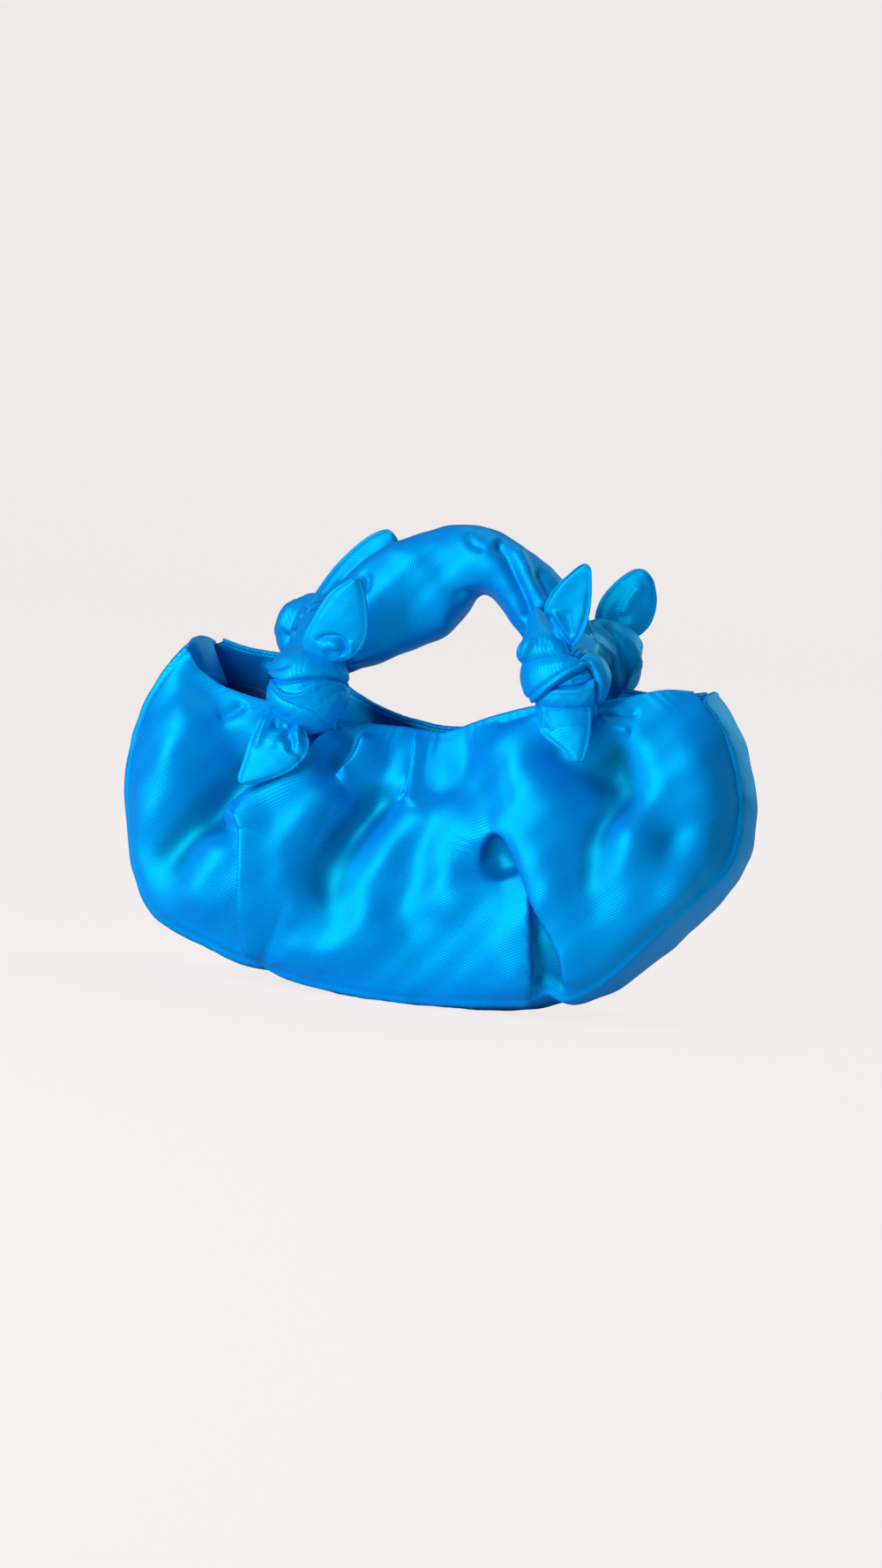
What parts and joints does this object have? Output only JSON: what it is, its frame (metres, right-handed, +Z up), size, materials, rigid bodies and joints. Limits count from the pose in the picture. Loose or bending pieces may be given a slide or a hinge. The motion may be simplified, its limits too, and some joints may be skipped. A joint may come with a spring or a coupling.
{
  "type": "mini bag",
  "caption": "Half-moon satin mini bag with gathered panels, a gusset, an open mouth and a padded top handle tied on with knots.",
  "frame": {"origin": "centre of the footprint, on the surface that the flat base rests on", "axes": "+X along the bag to the right as seen from the front, +Y towards the back, +Z up"},
  "size_m": [0.314, 0.1163, 0.248],
  "materials": {
    "duchesse_satin": "cyan-blue duchesse satin, soft lustre",
    "lining_twill": "matt blue lining twill",
    "wadding": "white polyester wadding",
    "snap_metal": "nickel-plated steel"
  },
  "bodies": {
    "pouch": {"front_panel": "duchesse_satin", "back_panel": "duchesse_satin", "gusset": "duchesse_satin", "front_facing": "duchesse_satin", "back_facing": "duchesse_satin", "front_lining": "lining_twill", "back_lining": "lining_twill", "gusset_lining": "lining_twill", "inner_pocket": "lining_twill", "snap_socket": "snap_metal", "snap_socket_plate": "snap_metal", "snap_stud": "snap_metal", "snap_stud_plate": "snap_metal", "pouch_tie_front_left": "duchesse_satin", "pouch_tie_front_right": "duchesse_satin", "pouch_tie_back_left": "duchesse_satin", "pouch_tie_back_right": "duchesse_satin", "handle_tie_front_left": "duchesse_satin", "handle_tie_front_right": "duchesse_satin", "handle_tie_back_left": "duchesse_satin", "handle_tie_back_right": "duchesse_satin"},
    "handle": {"handle_sleeve": "duchesse_satin", "handle_core": "wadding"},
    "upper_front_left": {"tail_upper_front_left": "duchesse_satin"},
    "lower_front_left": {"tail_lower_front_left": "duchesse_satin"},
    "upper_front_right": {"tail_upper_front_right": "duchesse_satin"},
    "lower_front_right": {"tail_lower_front_right": "duchesse_satin"},
    "upper_back_left": {"tail_upper_back_left": "duchesse_satin"},
    "lower_back_left": {"tail_lower_back_left": "duchesse_satin"},
    "upper_back_right": {"tail_upper_back_right": "duchesse_satin"},
    "lower_back_right": {"tail_lower_back_right": "duchesse_satin"}
  },
  "joints": [
    {"name": "handle_swing", "type": "hinge", "parent": "pouch", "child": "handle", "pos_m": [0, 0, 0.18448], "axis": [1, 0, 0], "range_deg": [-45, 45]},
    {"name": "upper_front_left_bend", "type": "hinge", "parent": "pouch", "child": "upper_front_left", "pos_m": [-0.062, -0.04586, 0.17496], "axis": [1, 0, 0], "range_deg": [0, 60], "stiffness_Nm_per_rad": 0.004, "springref_deg": -17.19},
    {"name": "upper_front_right_bend", "type": "hinge", "parent": "pouch", "child": "upper_front_right", "pos_m": [0.072, -0.04586, 0.19325], "axis": [1, 0, 0], "range_deg": [0, 60], "stiffness_Nm_per_rad": 0.004, "springref_deg": -17.19},
    {"name": "upper_back_left_bend", "type": "hinge", "parent": "pouch", "child": "upper_back_left", "pos_m": [-0.075, 0.04586, 0.1997], "axis": [-1, 0, 0], "range_deg": [0, 60], "stiffness_Nm_per_rad": 0.004, "springref_deg": -17.19},
    {"name": "upper_back_right_bend", "type": "hinge", "parent": "pouch", "child": "upper_back_right", "pos_m": [0.081, 0.04586, 0.20111], "axis": [-1, 0, 0], "range_deg": [0, 60], "stiffness_Nm_per_rad": 0.004, "springref_deg": -17.19},
    {"name": "lower_front_left_lift", "type": "hinge", "parent": "pouch", "child": "lower_front_left", "pos_m": [-0.069, -0.04586, 0.14141], "axis": [-1, 0, 0], "range_deg": [0, 60]},
    {"name": "lower_front_right_lift", "type": "hinge", "parent": "pouch", "child": "lower_front_right", "pos_m": [0.075, -0.04586, 0.15969], "axis": [-1, 0, 0], "range_deg": [0, 60]},
    {"name": "lower_back_left_lift", "type": "hinge", "parent": "pouch", "child": "lower_back_left", "pos_m": [-0.081, 0.04586, 0.16615], "axis": [1, 0, 0], "range_deg": [0, 60]},
    {"name": "lower_back_right_lift", "type": "hinge", "parent": "pouch", "child": "lower_back_right", "pos_m": [0.079, 0.04586, 0.16756], "axis": [1, 0, 0], "range_deg": [0, 60]}
  ]
}
